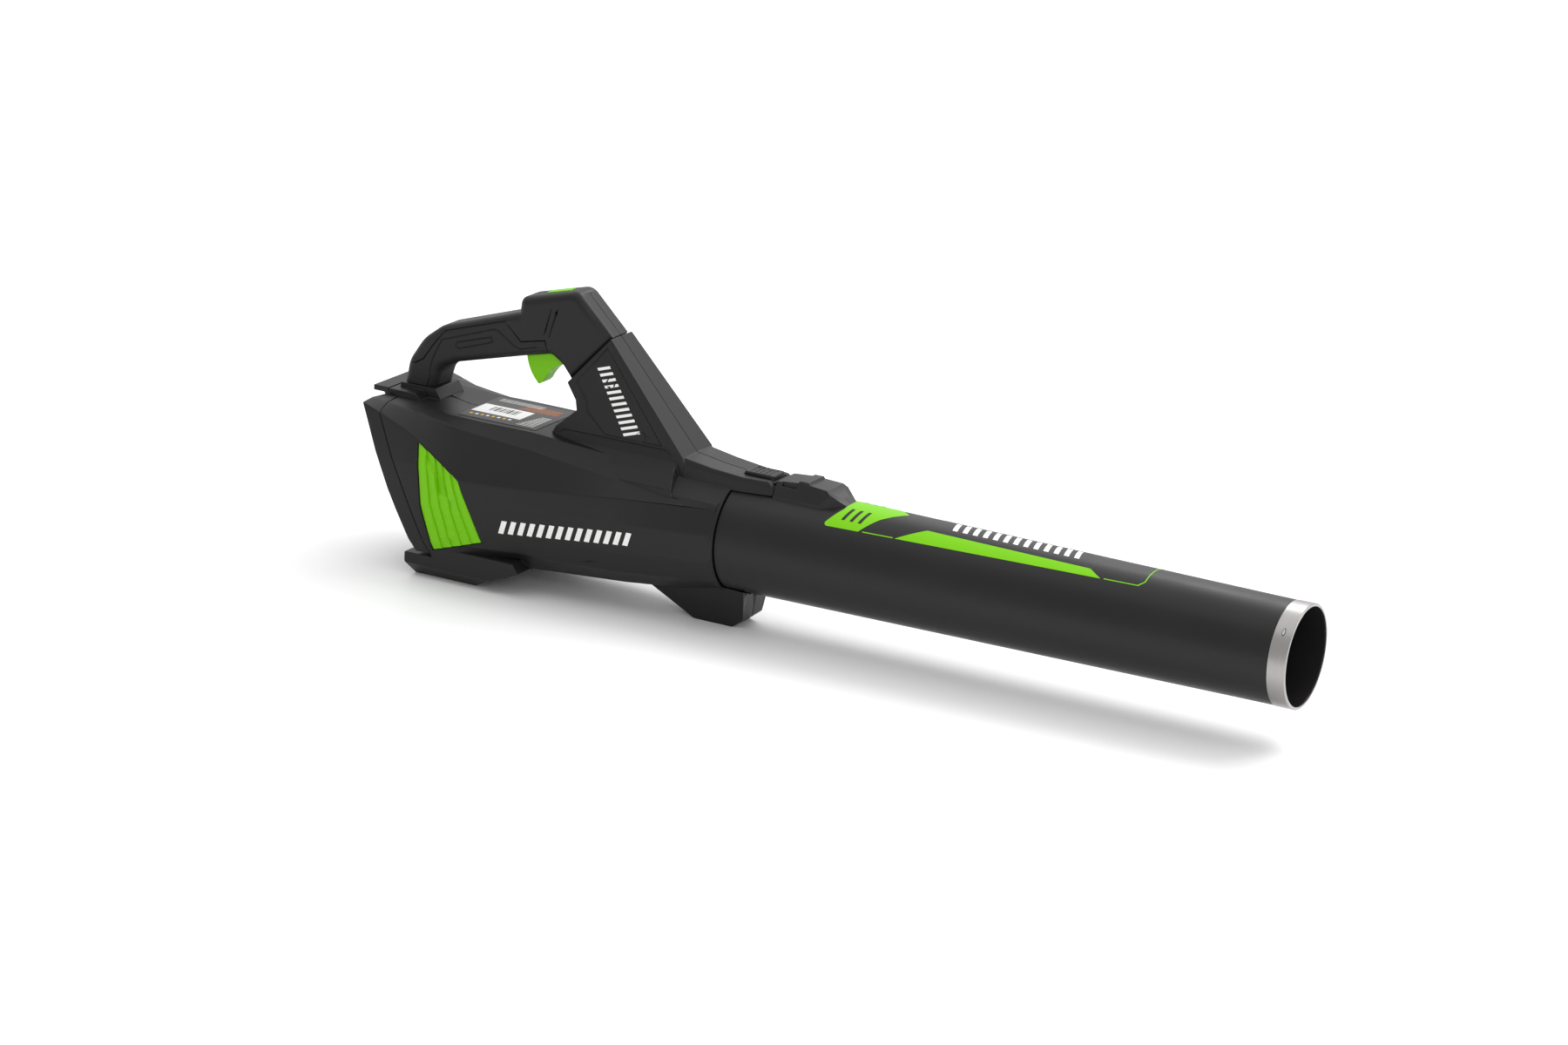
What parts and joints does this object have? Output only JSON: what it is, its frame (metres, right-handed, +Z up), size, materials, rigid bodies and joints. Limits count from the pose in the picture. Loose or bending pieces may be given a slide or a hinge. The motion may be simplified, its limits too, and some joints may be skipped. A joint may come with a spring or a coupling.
{
  "type": "leaf blower",
  "caption": "Hand-held battery leaf blower: faceted housing with loop handle and trigger, slide-in rear battery, inner axial fan and a long tapered tube with a steel-ringed mouth.",
  "frame": {"origin": "centre of the overall box at floor level, with the blower standing on its two feet", "axes": "+X along the tube towards its mouth, +Z up, the housing halves meet at y = 0"},
  "size_m": [0.905, 0.156, 0.2737],
  "materials": {
    "shell_black": "matte moulded, fine spark texture",
    "tube_black": "satin moulded",
    "grip_rubber": "soft matte overmould",
    "lime": "satin lime green",
    "ring_steel": "brushed round the mouth",
    "bright_steel": "ground",
    "screw_black": "black zinc",
    "inner_plastic": "glass-filled, matte",
    "lamination": "varnished laminations",
    "board": "solder mask",
    "cell_wrap": "shrink wrap",
    "brass": "plated contacts",
    "label_silver": "printed dark label"
  },
  "bodies": {
    "housing": {"housing_right": "shell_black", "housing_left": "shell_black", "handle_right": "shell_black", "handle_left": "shell_black", "grip_cover": "grip_rubber", "housing_screws": "screw_black", "trigger_pin": "bright_steel", "trigger_switch": "inner_plastic", "trigger_spring": "bright_steel", "speed_board": "board", "top_button_spring": "bright_steel", "release_spring": "bright_steel", "latch_pin": "bright_steel", "latch_spring": "bright_steel", "louver_right": "lime", "louver_left": "lime", "fan_duct": "inner_plastic", "inlet_bell": "inner_plastic", "motor_can": "bright_steel", "motor_stator": "lamination", "rear_bearing": "bright_steel", "front_bearing": "bright_steel", "tail_cone": "inner_plastic", "controller": "inner_plastic", "battery_bay": "inner_plastic", "battery_contacts": "brass", "deck_label": "label_silver"},
    "fan_rotor": {"motor_rotor": "bright_steel", "motor_shaft": "bright_steel", "fan": "inner_plastic", "fan_spinner": "inner_plastic"},
    "trigger": {"trigger": "lime"},
    "top_button": {"top_button": "lime"},
    "tube_release": {"tube_release_button": "shell_black"},
    "battery_latch": {"battery_latch": "shell_black"},
    "battery": {"battery_case": "shell_black", "battery_end_cap": "shell_black", "battery_cells": "cell_wrap", "cell_holder": "inner_plastic"},
    "tube": {"tube": "tube_black", "nozzle_ring": "ring_steel"}
  },
  "joints": [
    {"name": "trigger_hinge", "type": "hinge", "parent": "housing", "child": "trigger", "pos_m": [-0.2675, 0, 0.212], "axis": [0, 1, 0], "range_deg": [0, 12], "stiffness_Nm_per_rad": 0.4, "springref_deg": -8.59, "deforming": ["trigger_spring"]},
    {"name": "top_button_press", "type": "slide", "parent": "housing", "child": "top_button", "axis": [0.2584, 0, -0.966], "range_m": [0, 0.0016], "stiffness_N_per_m": 600, "springref_m": -0.002, "deforming": ["top_button_spring"]},
    {"name": "tube_release_press", "type": "slide", "parent": "housing", "child": "tube_release", "axis": [0, 0, -1], "range_m": [0, 0.0024], "stiffness_N_per_m": 900, "springref_m": -0.002, "deforming": ["release_spring"]},
    {"name": "battery_latch_hinge", "type": "hinge", "parent": "housing", "child": "battery_latch", "pos_m": [-0.432, 0, 0.1503], "axis": [0, -1, 0], "range_deg": [0, 6], "stiffness_Nm_per_rad": 0.5, "springref_deg": -5.73, "deforming": ["latch_spring"]},
    {"name": "battery_slide", "type": "slide", "parent": "housing", "child": "battery", "axis": [-1, 0, 0], "range_m": [0, 0.12]},
    {"name": "tube_slide", "type": "slide", "parent": "housing", "child": "tube", "axis": [1, 0, 0], "range_m": [0, 0.06]},
    {"name": "fan_spin", "type": "hinge", "parent": "housing", "child": "fan_rotor", "pos_m": [-0.2305, 0, 0.082], "axis": [1, 0, 0], "continuous": true}
  ]
}
